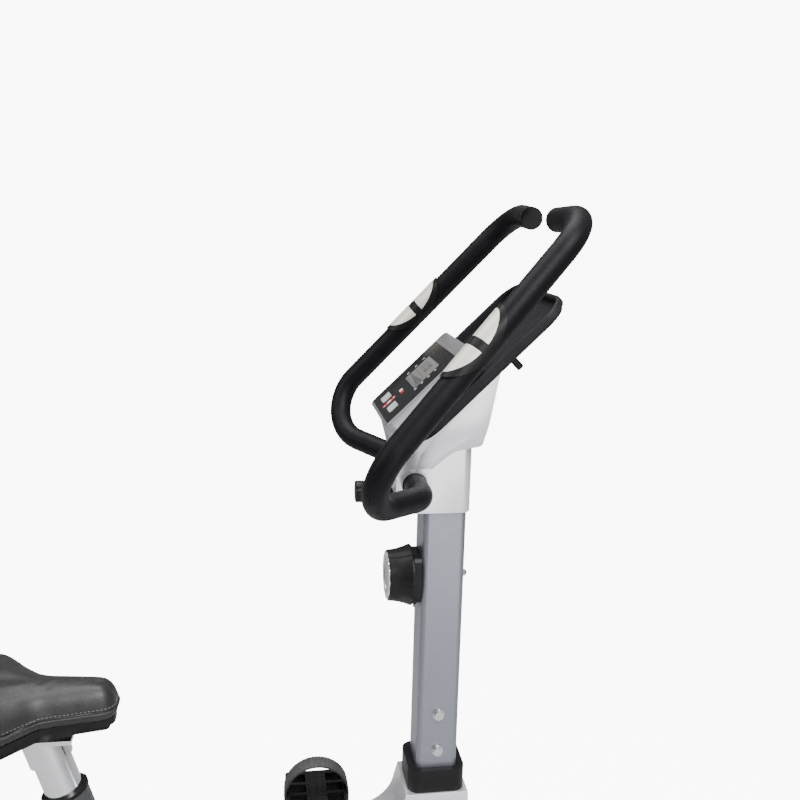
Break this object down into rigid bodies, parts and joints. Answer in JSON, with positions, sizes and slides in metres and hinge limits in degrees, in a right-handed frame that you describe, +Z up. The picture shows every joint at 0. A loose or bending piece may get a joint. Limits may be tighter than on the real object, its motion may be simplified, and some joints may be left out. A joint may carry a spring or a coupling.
{
  "type": "upright exercise bike",
  "caption": "Upright exercise bike with a belt-driven flywheel, magnetic brake, sliding saddle, tilting handlebar and a sloping console.",
  "frame": {"origin": "centre of the footprint on the floor", "axes": "+X forwards, the way the rider faces, +Y to the rider's left, +Z up"},
  "size_m": [0.982, 0.52, 1.356],
  "materials": {
    "frame_paint": "satin",
    "mast_paint": "satin",
    "silver_cover": "satin",
    "black_plastic": "satin",
    "gloss_black": "gloss",
    "charcoal_plastic": "matte",
    "foam": "matte",
    "strap_rubber": "matte",
    "belt_rubber": "matte",
    "vinyl": "matte",
    "steel": "satin",
    "chrome_post": "polished",
    "iron": "satin",
    "alloy": "satin",
    "sensor_plate": "satin",
    "lcd": "gloss",
    "button_grey": "satin"
  },
  "bodies": {
    "frame": {"front_stabiliser": "frame_paint", "rear_stabiliser": "frame_paint", "base_beam": "frame_paint", "end_caps": "black_plastic", "frame_bolts": "steel", "wheel_pins": "steel", "seat_tube": "frame_paint", "seat_bush": "black_plastic", "crank_shell": "frame_paint", "frame_stays": "frame_paint", "flywheel_fork": "frame_paint", "bearings": "steel", "drive_belt": "belt_rubber", "brake_cable": "black_plastic", "cover_left": "silver_cover", "cover_right": "silver_cover", "cover_screws": "steel", "mast": "mast_paint", "mast_boot": "black_plastic", "tension_housing": "black_plastic", "bar_clamp": "frame_paint", "neck_front": "silver_cover", "neck_rear": "silver_cover", "console_tray": "charcoal_plastic", "tray_peg": "black_plastic", "console_case": "silver_cover", "console_back": "charcoal_plastic", "console_face": "gloss_black", "lcd_window": "lcd"},
    "crank": {"crank_axle": "steel", "crank_pulley": "black_plastic", "crank_arm_left": "steel", "crank_arm_right": "steel", "crank_nuts": "black_plastic", "pedal_spindles": "steel"},
    "pedal_left": {"pedal_left": "black_plastic", "strap_left": "strap_rubber"},
    "pedal_right": {"pedal_right": "black_plastic", "strap_right": "strap_rubber"},
    "flywheel": {"flywheel": "iron", "flywheel_axle": "steel", "flywheel_pulley": "steel"},
    "brake": {"brake_bracket": "steel", "brake_magnets": "steel"},
    "tension_knob": {"tension_knob": "black_plastic", "knob_face": "alloy"},
    "handlebar": {"handlebar": "frame_paint", "foam_grips": "foam", "bar_plugs": "gloss_black", "pulse_shells": "black_plastic", "pulse_plates": "sensor_plate"},
    "clamp_knob": {"clamp_knob": "black_plastic"},
    "seat": {"seat_post": "chrome_post", "saddle_base": "black_plastic", "saddle_cushion": "vinyl"},
    "seat_knob": {"seat_knob": "black_plastic"},
    "wheel_left": {"wheel_left": "strap_rubber"},
    "wheel_right": {"wheel_right": "strap_rubber"},
    "button_left": {"button_left": "button_grey"},
    "button_right": {"button_right": "button_grey"}
  },
  "joints": [
    {"name": "crank_spin", "type": "hinge", "parent": "frame", "child": "crank", "pos_m": [-0.08, 0, 0.33], "axis": [0, 1, 0], "continuous": true},
    {"name": "pedal_left_spin", "type": "hinge", "parent": "crank", "child": "pedal_left", "pos_m": [0.05926, 0.146, 0.42751], "axis": [0, 1, 0], "continuous": true},
    {"name": "pedal_right_spin", "type": "hinge", "parent": "crank", "child": "pedal_right", "pos_m": [-0.21926, -0.146, 0.23249], "axis": [0, 1, 0], "continuous": true},
    {"name": "flywheel_spin", "type": "hinge", "parent": "frame", "child": "flywheel", "pos_m": [0.215, 0, 0.232], "axis": [0, 1, 0], "continuous": true},
    {"name": "tension_turn", "type": "hinge", "parent": "frame", "child": "tension_knob", "pos_m": [0.176, 0, 0.856], "axis": [1, 0, 0], "range_deg": [0, 300]},
    {"name": "brake_swing", "type": "hinge", "parent": "frame", "child": "brake", "pos_m": [0.29438, 0, 0.13739], "axis": [0, -1, 0], "range_deg": [0, 5]},
    {"name": "bar_tilt", "type": "hinge", "parent": "frame", "child": "handlebar", "pos_m": [0.17, 0, 0.996], "axis": [0, 1, 0], "range_deg": [-15, 25]},
    {"name": "clamp_knob_turn", "type": "hinge", "parent": "frame", "child": "clamp_knob", "pos_m": [0.11, 0, 0.976], "axis": [-1, 0, 0], "range_deg": [0, 360]},
    {"name": "seat_height", "type": "slide", "parent": "frame", "child": "seat", "axis": [-0.2924, 0, 0.9563], "range_m": [0, 0.2]},
    {"name": "seat_knob_turn", "type": "hinge", "parent": "frame", "child": "seat_knob", "pos_m": [-0.33548, 0, 0.50001], "axis": [-0.9563, 0, -0.2924], "range_deg": [0, 360]},
    {"name": "wheel_left_spin", "type": "hinge", "parent": "frame", "child": "wheel_left", "pos_m": [0.469, 0.198, 0.026], "axis": [0, 1, 0], "continuous": true},
    {"name": "wheel_right_spin", "type": "hinge", "parent": "frame", "child": "wheel_right", "pos_m": [0.469, -0.198, 0.026], "axis": [0, 1, 0], "continuous": true},
    {"name": "button_left_press", "type": "slide", "parent": "frame", "child": "button_left", "axis": [0.6997, 0, -0.7145], "range_m": [0, 0.001], "stiffness_N_per_m": 1500, "springref_m": -0.0005},
    {"name": "button_right_press", "type": "slide", "parent": "frame", "child": "button_right", "axis": [0.6997, 0, -0.7145], "range_m": [0, 0.001], "stiffness_N_per_m": 1500, "springref_m": -0.0005}
  ],
  "couplings": [
    {"joint": "flywheel_spin", "follows": "crank_spin", "ratio": 5.5},
    {"joint": "brake_swing", "follows": "tension_turn", "ratio": 0.016667}
  ]
}
